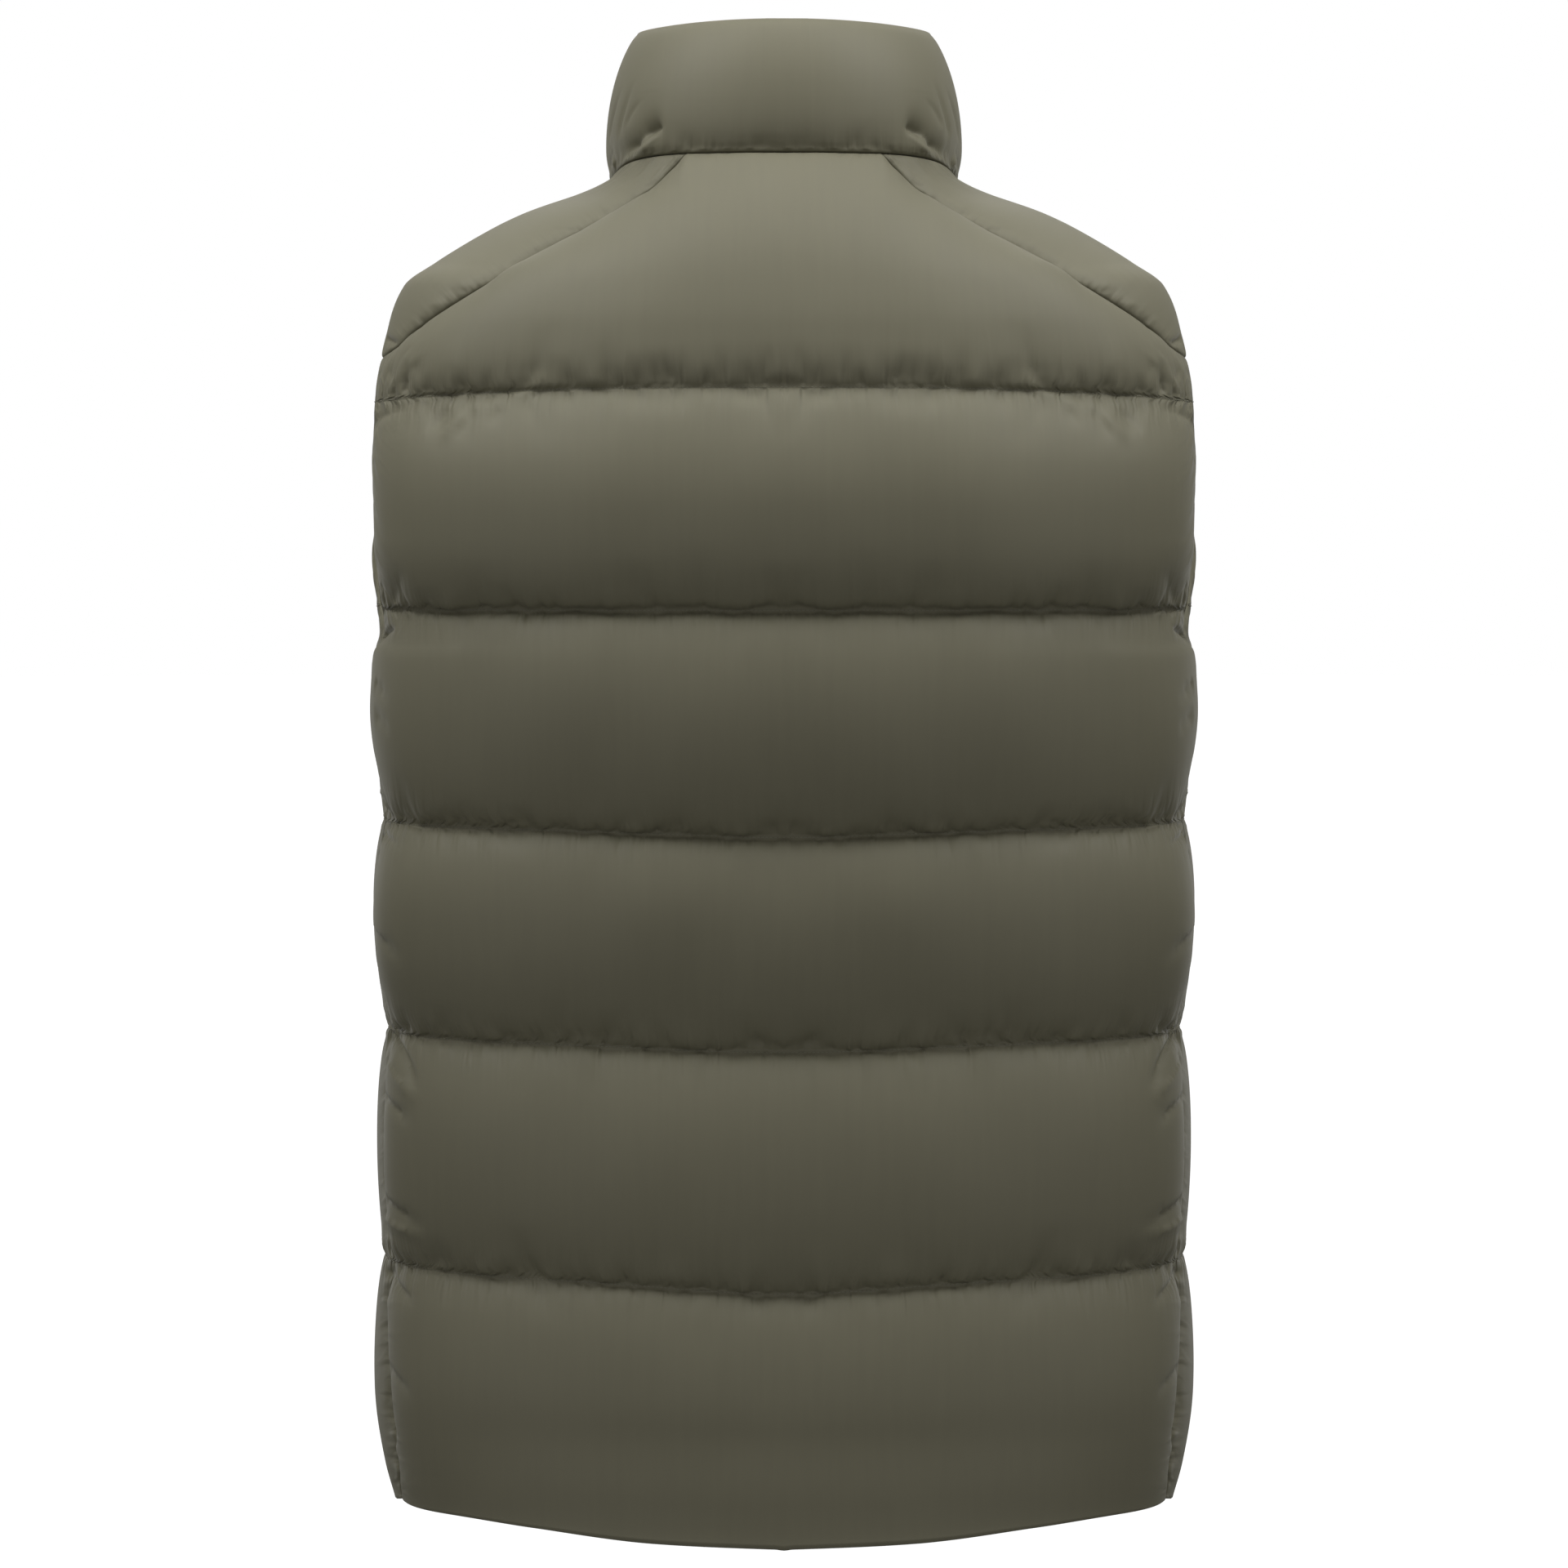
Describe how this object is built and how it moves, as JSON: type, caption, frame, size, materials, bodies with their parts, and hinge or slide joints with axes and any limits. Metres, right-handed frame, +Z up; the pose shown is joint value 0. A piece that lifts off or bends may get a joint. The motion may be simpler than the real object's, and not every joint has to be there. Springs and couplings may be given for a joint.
{
  "type": "quilted puffer vest",
  "caption": "Sleeveless padded body warmer with level channels of quilting, a tall stand collar and a full-length front zip, kept in its worn, hollow form.",
  "frame": {"origin": "in the middle of the neck, level with the tops of the shoulders, where the wearer's shoulders carry the vest", "axes": "+Z up, +Y to the wearer's back, +X to the wearer's left; the wearer faces -Y"},
  "size_m": [0.4292, 0.3111, 0.7559],
  "materials": {
    "back_panel": "matt woven polyester",
    "collar": "matt woven polyester",
    "front_panel_left": "matt woven polyester",
    "front_panel_right": "matt woven polyester",
    "shoulder_yoke_left": "matt woven polyester",
    "shoulder_yoke_right": "matt woven polyester",
    "zip_box": "moulded",
    "zip_chain": "moulded",
    "zip_pull": "dark satin",
    "zip_slider": "dark satin",
    "zip_tape_left": "woven tape",
    "zip_tape_right": "woven tape"
  },
  "bodies": {
    "vest": {"back_panel": "back_panel", "collar": "collar", "front_panel_left": "front_panel_left", "front_panel_right": "front_panel_right", "shoulder_yoke_left": "shoulder_yoke_left", "shoulder_yoke_right": "shoulder_yoke_right", "zip_box": "zip_box", "zip_chain": "zip_chain", "zip_slider": "zip_slider", "zip_tape_left": "zip_tape_left", "zip_tape_right": "zip_tape_right"},
    "pull": {"zip_pull": "zip_pull"}
  },
  "joints": [
    {"name": "zip_pull_swing", "type": "hinge", "parent": "vest", "child": "pull", "pos_m": [0, -0.08559, 0.02355], "axis": [1, 0, 0], "range_deg": [-165, 0]}
  ]
}
